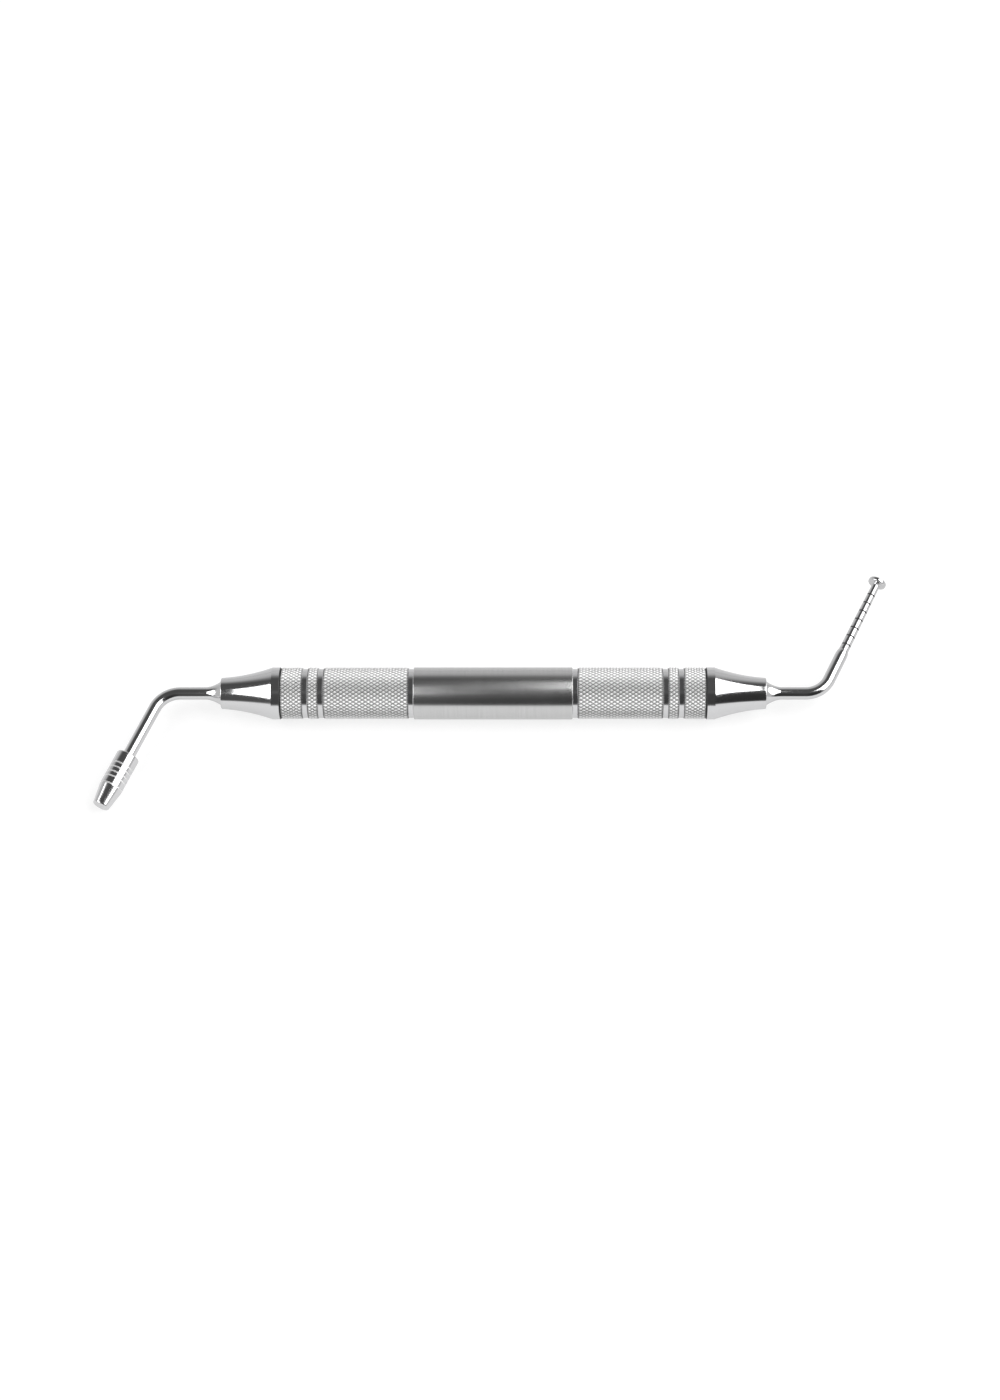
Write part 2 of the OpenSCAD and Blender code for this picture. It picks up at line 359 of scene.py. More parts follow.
def diamond_knurl_tree():
    """Sleeve round the X axis with a lattice of diamonds; both its ends are valleys."""
    nodes, given = geometry_tree("diamond_knurl", [
        ("Start", "Float"), ("End", "Float"), ("Crest Radius", "Float"), ("Depth", "Float"),
        ("Crest Flat", "Float"), ("Diamonds Around", "Int"), ("Diamonds Along", "Int"),
        ("Steps", "Int"), ("Material", "Material")])
    calc = nodes.math
    around, along, steps = given["Diamonds Around"], given["Diamonds Along"], given["Steps"]
    grid = nodes.add("GeometryNodeMeshGrid", {
        "Size X": 1.0, "Size Y": 1.0,
        "Vertices X": calc("MULTIPLY_ADD", along, steps, 1.0),
        "Vertices Y": calc("MULTIPLY_ADD", around, steps, 1.0)})
    place = nodes.add("ShaderNodeSeparateXYZ",
                      {0: nodes.add("GeometryNodeInputPosition").outputs[0]}).outputs
    x_share = calc("ADD", place["X"], 0.5)
    turn_share = calc("ADD", place["Y"], 0.5)
    u = calc("MULTIPLY", x_share, along)
    v = calc("MULTIPLY", turn_share, around)
    # Height of a diamond is its distance to the nearest of the two sets of valleys
    height = calc("MULTIPLY", 2.0, calc("MINIMUM", calc("PINGPONG", calc("ADD", u, v), 0.5),
                                        calc("PINGPONG", calc("SUBTRACT", v, u), 0.5)))
    flat = calc("DIVIDE", calc("MINIMUM", height, given["Crest Flat"]), given["Crest Flat"])
    from_end = calc("MULTIPLY", steps, calc("MINIMUM", u, calc("SUBTRACT", along, u)))
    shown = calc("MINIMUM", flat, from_end)
    radius = calc("SUBTRACT", given["Crest Radius"],
                  calc("MULTIPLY", given["Depth"], calc("SUBTRACT", 1.0, shown)))
    turned = calc("MULTIPLY", turn_share, math.tau)
    x = calc("MULTIPLY_ADD", x_share, calc("SUBTRACT", given["End"], given["Start"]),
             given["Start"])
    position = nodes.add("ShaderNodeCombineXYZ", {
        "X": x, "Y": calc("MULTIPLY", radius, calc("COSINE", turned)),
        "Z": calc("MULTIPLY", radius, calc("SINE", turned))}).outputs[0]
    moved = nodes.add("GeometryNodeSetPosition",
                      {"Geometry": grid.outputs["Mesh"], "Position": position}).outputs[0]
    closed = nodes.add("GeometryNodeMergeByDistance",
                       {"Geometry": moved, "Distance": MERGE_DISTANCE}).outputs[0]
    # Folded along its valleys, which are the shorter diagonals
    folded = nodes.add("GeometryNodeTriangulate", {"Mesh": closed}).outputs[0]
    return end_tree(nodes, folded, given["Material"])


def ring_mark_tree():
    """Row of thin sleeves along the X axis, each in the bottom of a ring mark."""
    nodes, given = geometry_tree("ring_marks", [
        ("Count", "Int"), ("First", "Float"), ("Pitch", "Float"), ("First Radius", "Float"),
        ("Radius Step", "Float"), ("Width", "Float"), ("Thickness", "Float"),
        ("Segments", "Int"), ("Material", "Material")])
    calc = nodes.math

    def along_x(x):
        return nodes.add("ShaderNodeCombineXYZ", {"X": x}).outputs[0]

    points = nodes.add("GeometryNodeMeshLine", {
        "Count": given["Count"], "Start Location": along_x(given["First"]),
        "Offset": along_x(given["Pitch"])}).outputs[0]
    # A sleeve of radius 1, so its wall is given as a share of the first radius
    path = nodes.add("GeometryNodeCurvePrimitiveCircle",
                     {"Resolution": given["Segments"], "Radius": 1.0}).outputs[0]
    section = nodes.add("GeometryNodeCurvePrimitiveQuadrilateral", {
        "Width": calc("DIVIDE", given["Thickness"], given["First Radius"]),
        "Height": given["Width"]}).outputs[0]
    sleeve = nodes.add("GeometryNodeCurveToMesh",
                       {"Curve": path, "Profile Curve": section}).outputs[0]
    upright = nodes.add("GeometryNodeTransform",
                        {"Geometry": sleeve, "Rotation": (0, math.pi / 2, 0)}).outputs[0]
    index = nodes.add("GeometryNodeInputIndex").outputs[0]
    radius = calc("MULTIPLY_ADD", index, given["Radius Step"], given["First Radius"])
    scale = nodes.add("ShaderNodeCombineXYZ", {"X": 1.0, "Y": radius, "Z": radius}).outputs[0]
    rings = nodes.add("GeometryNodeInstanceOnPoints",
                      {"Points": points, "Instance": upright, "Scale": scale}).outputs[0]
    return end_tree(nodes, rings, given["Material"])


# Steel finishes


def steel(name):
    """New material; gives it, its nodes and its Principled shader."""
    material = bpy.data.materials.new(name)
    material.use_nodes = True
    shader = material.node_tree.nodes["Principled BSDF"]
    return material, Nodes(material.node_tree), shader


def stretched_noise(nodes, stretch, detail=3.0, turned=(0, 0, 0)):
    """Noise on Object coordinates, with its number of features to a metre on each axis."""
    place = nodes.add("ShaderNodeTexCoord").outputs["Object"]
    mapped = nodes.add("ShaderNodeMapping", {
        "Vector": place, "Rotation": [math.radians(a) for a in turned], "Scale": stretch})
    return nodes.add("ShaderNodeTexNoise", {
        "Vector": mapped.outputs[0], "Scale": 1.0, "Detail": detail}).outputs[0]


def tint(nodes, factor, low, high):
    """Colour between two greys."""
    mix = nodes.add("ShaderNodeMix", data_type="RGBA")
    nodes.tree.links.new(factor, mix.inputs[0])
    mix.inputs[6].default_value = (*low, 1)
    mix.inputs[7].default_value = (*high, 1)
    return mix.outputs[2]


def scaled(colour, by):
    """Colour made lighter or darker."""
    return tuple(min(1.0, c * by) for c in colour)


def relief(nodes, shader, height, micrometres):
    """Bump from a height of 0 to 1."""
    bump = nodes.add("ShaderNodeBump", {
        "Height": height, "Distance": micrometres * MM / 1000, "Strength": 1.0})
    nodes.tree.links.new(bump.outputs[0], shader.inputs["Normal"])


def connect(nodes, shader, **sockets):
    """Links outputs to the shader's inputs by name."""
    for key, value in sockets.items():
        nodes.tree.links.new(value, shader.inputs[key.replace("_", " ")])


def axis_distance(nodes, height):
    """Distance from the handle's axis, which runs along X at a height."""
    place = nodes.add("ShaderNodeTexCoord").outputs["Object"]
    part = nodes.add("ShaderNodeSeparateXYZ", {0: place}).outputs
    z = nodes.math("SUBTRACT", part["Z"], height)
    return nodes.math("SQRT", nodes.math("ADD", nodes.math("MULTIPLY", part["Y"], part["Y"]),
                                         nodes.math("MULTIPLY", z, z)))


def satin_steel(finish):
    """Turned steel with fine rings round the handle and a soft gloss."""
    material, nodes, shader = steel("satin_steel")
    shader.inputs["Metallic"].default_value = 1.0
    rings = stretched_noise(nodes, (7000, 120, 120))
    cloud = stretched_noise(nodes, (90, 90, 90), 2.0)
    connect(nodes, shader,
            Base_Color=tint(nodes, rings, scaled(finish.satin, 0.88), scaled(finish.satin, 1.1)),
            Roughness=nodes.blend(cloud, finish.satin_roughness - 0.05,
                                  finish.satin_roughness + 0.06))
    relief(nodes, shader, rings, 3)
    # Turned rings spread a highlight along the handle
    shader.inputs["Anisotropic"].default_value = 0.6
    shader.inputs["Anisotropic Rotation"].default_value = 0.25
    around = nodes.add("ShaderNodeTangent", direction_type="RADIAL", axis="X").outputs[0]
    nodes.tree.links.new(around, shader.inputs["Tangent"])
    return material


def knurled_steel(finish, handle):
    """Knurl with bright rubbed crests, and valleys darkened partly by grime and partly by painted
    shade.
    """
    material, nodes, shader = steel("knurled_steel")
    shader.inputs["Metallic"].default_value = 1.0
    radius = handle.diameter / 2
    away = axis_distance(nodes, radius)
    height_for_wear_and_shade = nodes.add("ShaderNodeMapRange", {
        0: away, 1: radius - handle.knurl_depth, 2: radius}).outputs[0]
    tip, clear_of_valley_grime_and_shade = (nodes.add("ShaderNodeMapRange", {0: height_for_wear_and_shade, 1: start, 2: end}).outputs[0]
                  for start, end in (CREST_WEAR, VALLEY_GRIME_AND_SHADE_FADE))
    # Valleys darker: partly grime, partly painted shade in the knurl's hollows.
    side = tint(nodes, clear_of_valley_grime_and_shade, finish.valley, finish.facet)
    colour = nodes.add("ShaderNodeMix", {0: tip, 6: side, 7: (*finish.crest, 1)},
                       data_type="RGBA").outputs[2]
    connect(nodes, shader, Base_Color=colour,
            Roughness=nodes.blend(tip, finish.facet_roughness, finish.crest_roughness))
    grain = stretched_noise(nodes, (2500, 2500, 2500), 2.0)
    relief(nodes, shader, grain, 4)
    return material


def polished_steel(finish):
    """Mirror polish with faint hairlines and wiped smudges."""
    material, nodes, shader = steel("polished_steel")
    shader.inputs["Metallic"].default_value = 1.0
    hairlines = stretched_noise(nodes, (6000, 300, 1500), 2.0, (10, 20, 35))
    smudge = stretched_noise(nodes, (180, 260, 220), 3.0)
    connect(nodes, shader,
            Base_Color=tint(nodes, smudge, scaled(finish.polished, 0.95),
                            scaled(finish.polished, 1.04)),
            Roughness=nodes.blend(smudge, finish.polished_roughness - 0.03,
                                  finish.polished_roughness + 0.05))
    relief(nodes, shader, hairlines, 0.5)
    return material


def seam_shade_steel():
    """Dull steel, darkened to paint the shade inside the seams."""
    return bpy.data.materials.get("seam_shade_steel") or mark_steel(
        "seam_shade_steel", (0.1, 0.1, 0.1), 1.0, 0.5)


def mark_steel(name, colour, metallic, roughness):
    """Matt, slightly uneven finish in the bottom of a ring mark."""
    material, nodes, shader = steel(name)
    shader.inputs["Metallic"].default_value = metallic
    grain = stretched_noise(nodes, (9000, 9000, 9000), 2.0)
    connect(nodes, shader,
            Base_Color=tint(nodes, grain, scaled(colour, 0.8), scaled(colour, 1.25)),
            Roughness=nodes.blend(grain, roughness - 0.08, roughness + 0.08))
    relief(nodes, shader, grain, 3)
    return material


# Place of the pieces


def touching_roll(along, radius, bend, handle_radius):
    """Roll at which a ring of the bent tip touches the floor."""
    a, b = along * math.sin(bend), radius * math.sin(bend)
    square = a * a + b * b
    root = math.sqrt((a * handle_radius) ** 2 - square * (handle_radius ** 2 - radius ** 2))
    return math.asin((a * handle_radius - root) / square)


def lying(scene):
    """Rolls the straight-lying instrument into its resting pose."""
    tips, handle_radius = scene.packer_tips, scene.packer_handle.diameter / 2
    corner = tips.wide_reach + tips.head_straight
    rings = [(corner, tips.head / 2), (corner + tips.head_taper, tips.head_front / 2)]
    roll = min(touching_roll(s, r, tips.wide_bend, handle_radius) for s, r in rings)
    return Matrix.Translation((0, 0, handle_radius)) @ Matrix.Rotation(roll, 4, "X")


def at_end(scene, side):
    """Frame at one end of the tube, with +X outward: the wide end is at -X."""
    spun = Matrix.Rotation(math.pi if side == "wide" else 0, 4, "Z")
    return lying(scene) @ spun @ Matrix.Translation((scene.packer_handle.length / 2, 0, 0))


def far_frame(scene, side):
    """Frame at the corner of a tip's bend, with +X along the tip's far part."""
    tips = scene.packer_tips
    run, bend = ((tips.wide_run, tips.wide_bend) if side == "wide"
                 else (tips.narrow_run, tips.narrow_bend))
    return (at_end(scene, side) @ Matrix.Translation((scene.packer_cones.length + run, 0, 0))
            @ Matrix.Rotation(bend, 4, "Z"))


def rod_radius(tips, s):
    """Radius of the narrow rod at a distance from the corner of its bend."""
    start = tips.narrow_reach + tips.shoulder
    return (tips.rod + (tips.rod_end - tips.rod) * (s - start) / tips.rod_length) / 2


def head_mark_places(tips, marks):
    """Marks on the head, from the corner of the bend: the row behind, then the first."""
    first = tips.wide_reach + tips.head_straight - marks.head_first
    row = [first - marks.head_gap - i * marks.head_pitch for i in range(marks.head_count - 1)]
    return sorted(row), first


def rod_mark_places(tips, marks):
    """Marks on the rod, from the corner of the bend."""
    front = tips.narrow_reach + tips.shoulder + tips.rod_length + tips.disc_thickness
    return sorted(front - marks.rod_first - i * marks.rod_pitch for i in range(marks.rod_count))


class PACKER_OT_handle(bpy.types.Operator):
    """Make the turned handle: grooves, lands and six diamond-knurled bands"""

    bl_idname = "packer.handle"
    bl_label = "Make handle"

    def execute(self, context):
        h = context.scene.packer_handle
        finish = context.scene.packer_finish
        radius, half = h.diameter / 2, h.length / 2
        valley = radius - h.knurl_depth
        land = valley + h.knurl_depth / 4
        g, groove_drop = h.groove_width / 2, land - radius + h.groove_depth
        bevel, land_round = 0.04 * MM, 0.1 * MM
        # Material slots; the plain middle is satin, in slot 0
        knurl_slot, seam_shade_slot, polished_slot = 1, 2, 3
        grooves = [h.groove_outer, h.groove_second, h.groove_inner]
        bands = [(h.seam_chamfer, grooves[0] - g), (grooves[0] + g, grooves[1] - g),
                 (grooves[1] + g, grooves[2] - g)]
        knurl, satin = knurled_steel(finish, h), satin_steel(finish)
        diamond_length = math.pi * h.diameter / h.diamonds / math.tan(h.knurl_angle)
        segments = h.diamonds * h.diamond_steps
        tree = diamond_knurl_tree()
        bm = bmesh.new()

        def turn_end(side, outline):
            """Turns an outline that is measured inward from one end of the tube."""
            turn(bm, [(side * (x - half), r) for x, r in outline], segments)

        for side in (-1, 1):
            for start, end in bands:
                ends = sorted((side * (half - start), side * (half - end)))
                mesh = run_tree(tree, {
                    "Start": ends[0], "End": ends[1], "Crest Radius": radius,
                    "Depth": h.knurl_depth, "Crest Flat": h.crest_flat,
                    "Diamonds Around": h.diamonds,
                    "Diamonds Along": max(1, round((end - start) / diamond_length)),
                    "Steps": h.diamond_steps, "Material": knurl})
                bm.from_mesh(mesh)
                bpy.data.meshes.remove(mesh)
        for face in bm.faces:
            face.material_index, face.smooth = knurl_slot, False
        knurl_faces = len(bm.faces)
        for side in (-1, 1):
            turn_end(side, [(bands[0][0], valley), (bands[0][0], land),
                            (0, land - h.seam_chamfer), (0, h.bore / 2 + bevel)])
        bm.faces.ensure_lookup_table()
        # The tube's ends in the seams take dark steel: painted shade between tube and cones.
        for face in bm.faces[knurl_faces:]:
            face.material_index = seam_shade_slot
        for side in (-1, 1):
            turn_end(side, [(0, h.bore / 2 + bevel), (bevel, h.bore / 2)])
            for i in (0, 1):
                turn_end(side, [(bands[i][1], valley),
                                *flat_groove(grooves[i], g, h.groove_side, groove_drop, land),
                                (bands[i + 1][0], valley)])
        inner = ([(bands[2][1], valley)]
                 + flat_groove(grooves[2], g, h.groove_side, groove_drop, land)
                 + arc(grooves[2] + g + land_round, radius - land_round, land_round,
                       180, 90, 4)[1:])
        inner = [(x - half, r) for x, r in inner]
        turn(bm, inner + [(-x, r) for x, r in reversed(inner)], segments)
        turn(bm, [(bevel - half, h.bore / 2), (half - bevel, h.bore / 2)], segments)
        bm.faces.ensure_lookup_table()
        for face in bm.faces[knurl_faces:]:
            face.smooth = True
            middle = face.calc_center_median()
            if any(abs(half - abs(middle.x) - x) < g and h.bore / 2 < middle.yz.length < land
                   for x in grooves):
                face.material_index = polished_slot
        piece = steel_object("turned_handle", bm, lying(context.scene),
                             [satin, knurl, seam_shade_steel(), polish(context.scene)])
        settle(piece, "handle_tube")
        return {"FINISHED"}


class PACKER_OT_end_cones(bpy.types.Operator):
    """Make the two polished end cones with their spigots"""

    bl_idname = "packer.end_cones"
    bl_label = "Make end cones"

    def execute(self, context):
        scene = context.scene
        h, c, tips = scene.packer_handle, scene.packer_cones, scene.packer_tips
        radius, spigot, tang = h.diameter / 2, h.bore / 2 - c.gap, tips.tang / 2 + c.gap
        chamfer, bevel, before_taper = 0.4 * MM, 0.05 * MM, 0.3 * MM
        outline = ([(-c.spigot, spigot - chamfer), (chamfer - c.spigot, spigot), (0, spigot),
                    (0, radius - h.seam_chamfer), (h.seam_chamfer, radius),
                    (c.band - before_taper, radius)]
                   + hollow_taper(c.band, radius, c.length - c.edge, c.front / 2, c.hollow)
                   + arc(c.length - c.edge, c.front / 2 - c.edge, c.edge, 75, 0, 12)
                   + [(c.length, tang + bevel), (c.length - bevel, tang), (-c.spigot, tang)])
        for side in ("wide", "narrow"):
            bm = bmesh.new()
            turn(bm, outline, 128, loop=True)
            for face in bm.faces:
                face.smooth = True
                middle = face.calc_center_median()
                # Faces in the seam take dark steel, painted shade between tube and cone.
                in_seam = middle.x < h.seam_chamfer and middle.yz.length > spigot
                face.material_index = int(in_seam)
            piece = steel_object(side + "_cone", bm, at_end(scene, side),
                                 [polish(scene), seam_shade_steel()], 15)
            settle(piece, side + "_end_cone")
        return {"FINISHED"}


class PACKER_OT_tips(bpy.types.Operator):
    """Make the two bent packer tips: tang, neck, shank, and head or rod with disc"""

    bl_idname = "packer.tips"
    bl_label = "Make packer tips"

    def execute(self, context):
        scene = context.scene
        tips, marks = scene.packer_tips, scene.packer_marks
        shank, edge, fillet = tips.shank / 2, tips.edge, tips.fillet
        # Rings this close to a corner keep the shading of the faces beside it
        support = 0.03 * MM
        row, first = head_mark_places(tips, marks)
        corner = tips.wide_reach + tips.head_straight
        front = corner + tips.head_taper
        slope = math.atan((tips.head - tips.head_front) / 2 / tips.head_taper)
        front_edge = (tips.head / 2 - (tips.head_taper - edge) * math.tan(slope)
                      - edge / math.cos(slope))
        head = (arc(tips.wide_reach - fillet, shank + fillet, fillet, 270, 360)
                + arc(tips.wide_reach + edge, tips.head / 2 - edge, edge, 180, 90, 10)
                + [p for s in [*row, first] for p in mark_groove(s, tips.head / 2, marks)]
                + [(corner - support, tips.head / 2), (corner, tips.head / 2),
                   (corner + support, tips.head / 2 - support * math.tan(slope)),
                   (front - edge + edge * math.sin(slope) - support,
                    front_edge + edge * math.cos(slope) + support * math.tan(slope))]
                + arc(front - edge, front_edge, edge, 90 - math.degrees(slope), 0, 10)
                + [(front, 0)])
        rod, start = tips.rod / 2, tips.narrow_reach + tips.shoulder
        back = start + tips.rod_length
        disc_front, disc = back + tips.disc_thickness, tips.disc / 2
        shoulder = [(tips.narrow_reach + tips.shoulder * math.sin(a),
                     rod + (shank - rod) * math.cos(a))
                    for a in (math.pi / 2 * i / 12 for i in range(13))]
        rod_part = (shoulder
                    + [p for s in rod_mark_places(tips, marks)
                       for p in mark_groove(s, rod_radius(tips, s), marks)]
                    + arc(back - fillet, tips.rod_end / 2 + fillet, fillet, 270, 360)
                    + arc(back + edge, disc - edge, edge, 180, 90, 10)
                    + arc(disc_front - edge, disc - edge, edge, 90, 0, 10)
                    + [(disc_front, 0)])
        for side, run, bend, far_part in (("wide", tips.wide_run, tips.wide_bend, head),
                                          ("narrow", tips.narrow_run, tips.narrow_bend, rod_part)):
            piece = self.bent_tip(scene, side, run, bend, far_part)
            settle(piece, side + "_packer_tip")
        return {"FINISHED"}

    def bent_tip(self, scene, side, run, bend, far_part, segments=96, bend_steps=36):
        """One tip, swept along its line: straight, bend, and the far part's outline."""
        tips = scene.packer_tips
        shank, tang = tips.shank / 2, tips.tang / 2
        tangent, chamfer = tips.bend_radius * math.tan(bend / 2), 0.3 * MM
        near = ([(-tips.tang_length, 0), (-tips.tang_length, tang - chamfer),
                 (chamfer - tips.tang_length, tang), (0, tang)]
                + hollow_taper(0, tips.neck / 2, tips.neck_length, shank, tips.neck_hollow))
        stations = [(Matrix.Translation((x, 0, 0)), r) for x, r in near]
        centre = Matrix.Translation((run - tangent, tips.bend_radius, 0))
        for i in range(bend_steps + 1):
            turned = Matrix.Rotation(bend * i / bend_steps, 4, "Z")
            stations.append((centre @ turned @ Matrix.Translation((0, -tips.bend_radius, 0)),
                             shank))
        corner = Matrix.Translation((run, 0, 0)) @ Matrix.Rotation(bend, 4, "Z")
        stations += [(corner @ Matrix.Translation((x, 0, 0)), r) for x, r in far_part]
        turns = [math.tau * k / segments for k in range(segments)]
        rings = [[place @ Vector((0, r * math.cos(a), r * math.sin(a))) for a in turns]
                 if r > 0 else [place.translation.copy()] for place, r in stations]
        bm = bmesh.new()
        rings_to_mesh(bm, rings)
        for face in bm.faces:
            face.smooth = True
        place = at_end(scene, side) @ Matrix.Translation((scene.packer_cones.length, 0, 0))
        return steel_object(side + "_tip", bm, place, [polish(scene)])


class PACKER_OT_ring_marks(bpy.types.Operator):
    """Make the finish in the ring marks: matt on the head, dark on the rod"""

    bl_idname = "packer.ring_marks"
    bl_label = "Make ring marks"

    def execute(self, context):
        scene = context.scene
        tips, marks, finish = scene.packer_tips, scene.packer_marks, scene.packer_finish
        etched = mark_steel("etched_steel", finish.etched, 1.0, 0.5)
        dark = mark_steel("dark_mark", finish.dark, 0.0, 0.5)
        row, first = head_mark_places(tips, marks)
        places = rod_mark_places(tips, marks)
        radii = [rod_radius(tips, s) for s in places]
        step = (radii[-1] - radii[0]) / max(1, len(radii) - 1)
        jobs = [("wide", "head_ring_marks", etched, [(len(row), row[0], tips.head / 2, 0.0),
                                                     (1, first, tips.head / 2, 0.0)],
                 marks.head_pitch),
                ("narrow", "rod_ring_marks", dark, [(len(places), places[0], radii[0], step)],
                 marks.rod_pitch)]
        tree = ring_mark_tree()
        for side, name, material, rows, pitch in jobs:
            bm = bmesh.new()
            for count, start, radius, radius_step in rows:
                mesh = run_tree(tree, {
                    "Count": count, "First": start, "Pitch": pitch,
                    "First Radius": radius - marks.depth, "Radius Step": radius_step,
                    "Width": marks.width, "Thickness": 2 * marks.fill, "Segments": 96,
                    "Material": material})
                bm.from_mesh(mesh)
                bpy.data.meshes.remove(mesh)
            for face in bm.faces:
                face.material_index, face.smooth = 0, True
            settle(steel_object(name, bm, far_frame(scene, side), [material]))
        return {"FINISHED"}


def polish(scene):
    """The one polished steel that cones and tips share."""
    return bpy.data.materials.get("polished_steel") or polished_steel(scene.packer_finish)


class PACKER_OT_stage(bpy.types.Operator):
    """Make the pale floor, the two side softboxes, the tent and the camera"""

    bl_idname = "packer.stage"
    bl_label = "Make stage"

    def execute(self, context):
        stage = context.scene.packer_stage
        self.floor(stage)
        self.surroundings(context.scene, stage)
        # Placed by the stripes they make on the cones and the head, then adjusted
        self.softbox("left_softbox", -0.9, (-1.07, 0.13), (0.46, 2), 20.6, stage.lamp)
        self.softbox("right_softbox", 0.9, (-0.63, 0.95), (0.4, 3.3), 0, stage.lamp)
        self.tent()
        self.camera(context.scene, stage)
        return {"FINISHED"}

    def floor(self, stage):
        """Wide pale floor that stays white around the object's soft shadow."""
        bm = bmesh.new()
        bmesh.ops.create_grid(bm, x_segments=4, y_segments=4, size=4.0)
        floor = linked_object("floor", bm)
        material = bpy.data.materials.new("floor_paper")
        nodes = emptied(material)
        ray = nodes.add("ShaderNodeLightPath").outputs
        seen = seen_or_mirrored(nodes, ray)
        paper = nodes.add("ShaderNodeBsdfDiffuse", {"Color": (*stage.floor, 1)}).outputs[0]
        dim = nodes.add("ShaderNodeBsdfDiffuse",
                        {"Color": (*scaled(stage.floor, 0.4), 1)}).outputs[0]
        # The steel sees the paper a little greyer, and greyer still behind the object
        place = nodes.add("ShaderNodeTexCoord").outputs["Object"]
        back = nodes.add("ShaderNodeSeparateXYZ", {0: place}).outputs["Y"]
        front_glow, back_glow, camera_glow = 0.58, 0.4, 0.74
        mirrored = nodes.add("ShaderNodeMapRange", {
            0: back, 1: -0.02, 2: 0.03, 3: front_glow, 4: back_glow}).outputs[0]
        level = nodes.math("MAXIMUM", mirrored,
                           nodes.math("MULTIPLY", ray["Is Camera Ray"], camera_glow))
        glow = nodes.add("ShaderNodeEmission", {"Strength": level}).outputs[0]
        lit = nodes.add("ShaderNodeAddShader", {0: dim, 1: glow}).outputs[0]
        mix = nodes.add("ShaderNodeMixShader", {0: seen, 1: paper, 2: lit}).outputs[0]
        nodes.add("ShaderNodeOutputMaterial", {"Surface": mix})
        floor.data.materials.append(material)

    def surroundings(self, scene, stage):
        """Soft light from all round, and a white background."""
        scene.world = bpy.data.worlds.new("studio")
        nodes = emptied(scene.world)
        seen = seen_or_mirrored(nodes, nodes.add("ShaderNodeLightPath").outputs)
        room = nodes.add("ShaderNodeBackground",
                         {"Color": (1, 1, 1, 1), "Strength": stage.sky}).outputs[0]
        white = nodes.add("ShaderNodeBackground",
                          {"Color": (1, 1, 1, 1), "Strength": 1.0}).outputs[0]
        mix = nodes.add("ShaderNodeMixShader", {0: seen, 1: room, 2: white}).outputs[0]
        nodes.add("ShaderNodeOutputWorld", {"Surface": mix})

    def softbox(self, name, x, ys, zs, lean, brightness):
        """Rectangular lamp beside the object, facing it, its top leaning to the front."""
        data = bpy.data.lights.new(name, "AREA")
        data.shape = "RECTANGLE"
        data.size, data.size_y = ys[1] - ys[0], zs[1] - zs[0]
        data.energy = brightness * math.pi * data.size * data.size_y
        lamp = bpy.data.objects.new(name, data)
        bpy.context.scene.collection.objects.link(lamp)
        lamp.matrix_world = (
            Matrix.Translation((x, sum(ys) / 2, sum(zs) / 2))
            @ Matrix.Rotation(math.radians(lean), 4, "X")
            @ Matrix.Rotation(math.copysign(math.pi / 2, x), 4, "Z")
            @ Matrix.Rotation(math.pi / 2, 4, "X"))
        lamp.visible_camera = False

    def tent(self):
        """Tent round the object, seen only in the steel: dark in front, pale behind."""
        bm = bmesh.new()
        bmesh.ops.create_uvsphere(bm, u_segments=48, v_segments=24, radius=3.5)
        bmesh.ops.delete(bm, geom=[v for v in bm.verts if v.co.z < -0.01], context="VERTS")
        tent = linked_object("tent", bm)
        material = bpy.data.materials.new("tent_cloth")
        nodes = emptied(material)
        place = nodes.add("ShaderNodeTexCoord").outputs["Object"]
        way = nodes.add("ShaderNodeVectorMath", {0: place}, operation="NORMALIZE").outputs[0]
        part = nodes.add("ShaderNodeSeparateXYZ", {0: way}).outputs
        # 0 at the front horizon, 1 at the back one
        over = nodes.math("DIVIDE", nodes.math(
            "ARCTAN2", part["Z"], nodes.math("MULTIPLY", part["Y"], -1.0)), math.pi)
        ramp = nodes.add("ShaderNodeValToRGB", {0: over})
        # Degrees over from the front horizon, and the brightness there
        stops = [(0, 0.3), (4, 0.1), (10, 0.035), (52, 0.04), (64, 0.08), (126, 0.085),
                 (138, 0.22), (148, 0.48), (165, 0.64), (180, 0.6)]
        marks = ramp.color_ramp.elements
        for degrees, level in stops[1:-1]:
            marks.new(degrees / 180)
        for mark, (degrees, level) in zip(marks, stops):
            mark.position, mark.color = degrees / 180, (level, level, level, 1)
        # The low front is brighter towards the left
        left = nodes.add("ShaderNodeMapRange", {
            0: part["X"], 1: -0.3, 2: 0.3, 3: 1.4, 4: -0.1}).outputs[0]
        low = nodes.add("ShaderNodeMapRange", {0: over, 1: 0.4, 2: 0.32}).outputs[0]
        level = nodes.math("MULTIPLY_ADD", nodes.math("MULTIPLY", left, low), ramp.outputs[0],
                           ramp.outputs[0])
        side_level = 0.6
        edge = nodes.add("ShaderNodeMapRange", {
            0: nodes.math("ABSOLUTE", part["X"]), 1: 0.68, 2: 0.85}).outputs[0]
        bright = nodes.math("MULTIPLY_ADD", edge, nodes.math("SUBTRACT", side_level, level),
                            level)
        glow = nodes.add("ShaderNodeEmission", {"Strength": bright}).outputs[0]
        nodes.add("ShaderNodeOutputMaterial", {"Surface": glow})
        tent.data.materials.append(material)
        tent.visible_camera = tent.visible_diffuse = tent.visible_shadow = False

    def camera(self, scene, stage):
        """Camera at the photograph's angle, fitted to its 1000 x 1400 frame."""
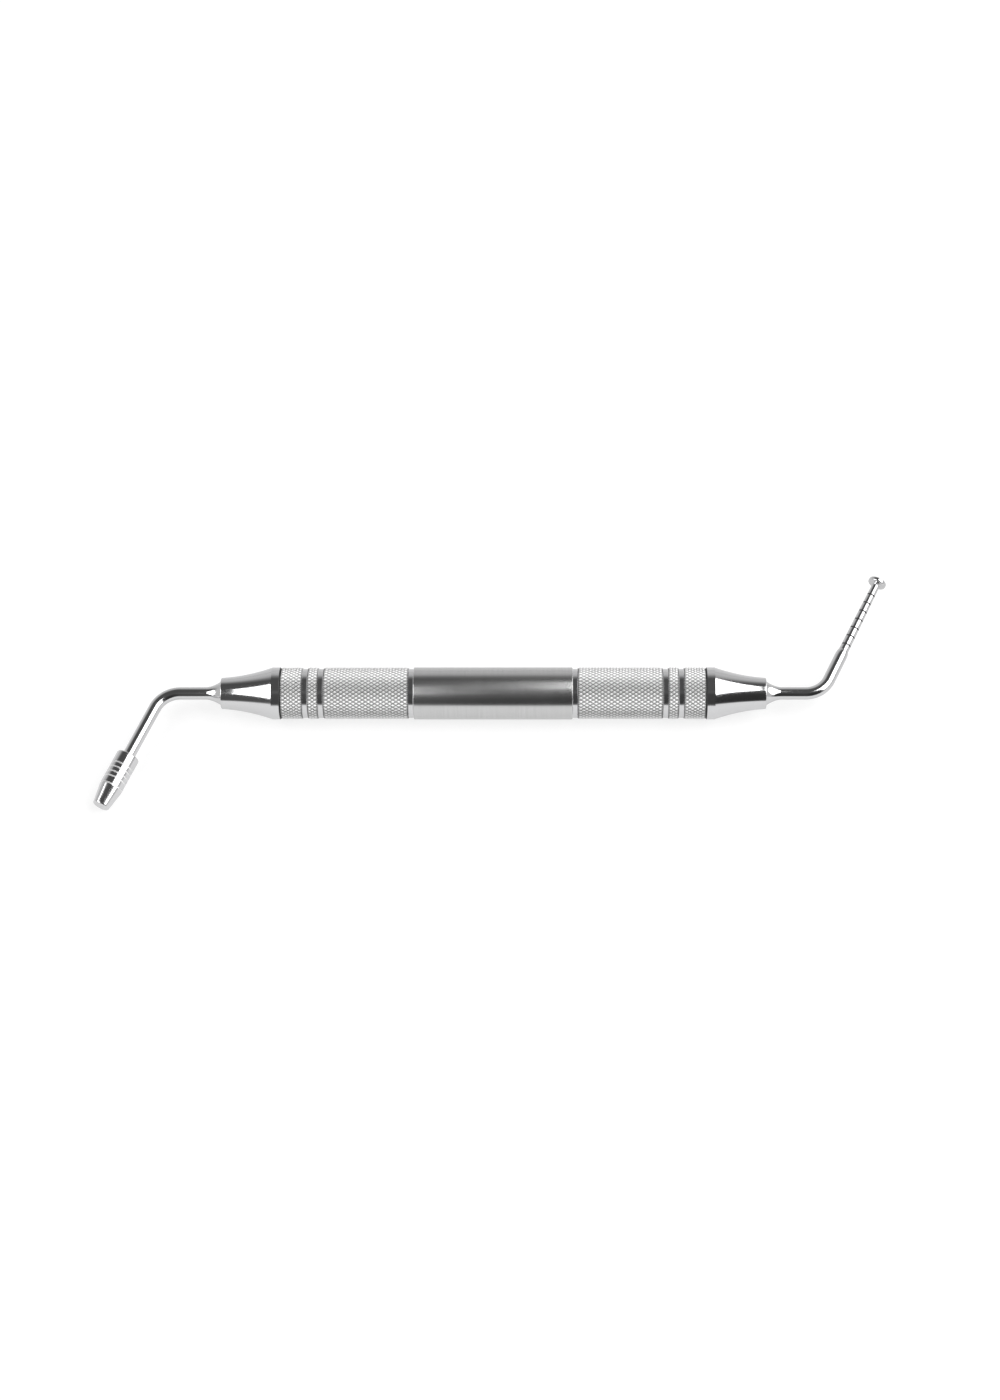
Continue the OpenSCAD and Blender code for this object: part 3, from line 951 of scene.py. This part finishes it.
        # How far right of and below the handle's middle the camera looks
        aim_right, aim_down = 1.295 * MM, 1.268 * MM
        handle_middle = Vector((0, 0, scene.packer_handle.diameter / 2))
        e, yaw = stage.elevation, stage.yaw
        forward = Vector((-math.sin(yaw), math.cos(yaw) * math.cos(e),
                          -math.cos(yaw) * math.sin(e)))
        right = Vector((math.cos(yaw), math.sin(yaw) * math.cos(e), -math.sin(yaw) * math.sin(e)))
        down = Vector((0, -math.sin(e), -math.cos(e)))
        data = bpy.data.cameras.new("photo_camera")
        data.sensor_width = 36
        data.lens = PHOTO_FOCAL_PIXELS / max(PHOTO_SIZE) * data.sensor_width
        data.clip_start, data.clip_end = 0.01, 50
        camera = bpy.data.objects.new("photo_camera", data)
        scene.collection.objects.link(camera)
        spot = handle_middle + aim_right * right + aim_down * down - stage.distance * forward
        axes = Matrix((right, -down, -forward)).transposed().to_4x4()
        camera.matrix_world = Matrix.Translation(spot) @ axes
        scene.camera = camera
        scene.view_settings.view_transform = "Standard"


class PACKER_PT_panel(bpy.types.Panel):
    """Sizes, finishes and build buttons of the bone packer"""

    bl_idname = "PACKER_PT_panel"
    bl_label = "Bone Packer"
    bl_space_type = "VIEW_3D"
    bl_region_type = "UI"
    bl_category = "Bone Packer"

    def draw(self, context):
        for operator in OPERATORS:
            self.layout.operator(operator.bl_idname)
        for name, group in GROUPS:
            box = self.layout.box()
            box.label(text=group.__doc__)
            for key in group.__annotations__:
                box.prop(getattr(context.scene, name), key)


GROUPS = (("packer_handle", HandleSizes), ("packer_cones", ConeSizes), ("packer_tips", TipSizes),
          ("packer_marks", RingMarkSizes), ("packer_finish", SteelFinishes),
          ("packer_stage", StageSizes))
OPERATORS = (PACKER_OT_handle, PACKER_OT_end_cones, PACKER_OT_tips, PACKER_OT_ring_marks,
             PACKER_OT_stage)


def register():
    for name, group in GROUPS:
        bpy.utils.register_class(group)
        setattr(bpy.types.Scene, name, PointerProperty(type=group))
    for cls in (*OPERATORS, PACKER_PT_panel):
        bpy.utils.register_class(cls)


def unregister():
    for cls in (PACKER_PT_panel, *reversed(OPERATORS)):
        bpy.utils.unregister_class(cls)
    for name, group in reversed(GROUPS):
        delattr(bpy.types.Scene, name)
        bpy.utils.unregister_class(group)


def main():
    """Builds every piece and the stage."""
    register()
    bpy.ops.packer.handle()
    bpy.ops.packer.end_cones()
    bpy.ops.packer.tips()
    bpy.ops.packer.ring_marks()
    bpy.ops.packer.stage()


if __name__ == "__main__":
    main()
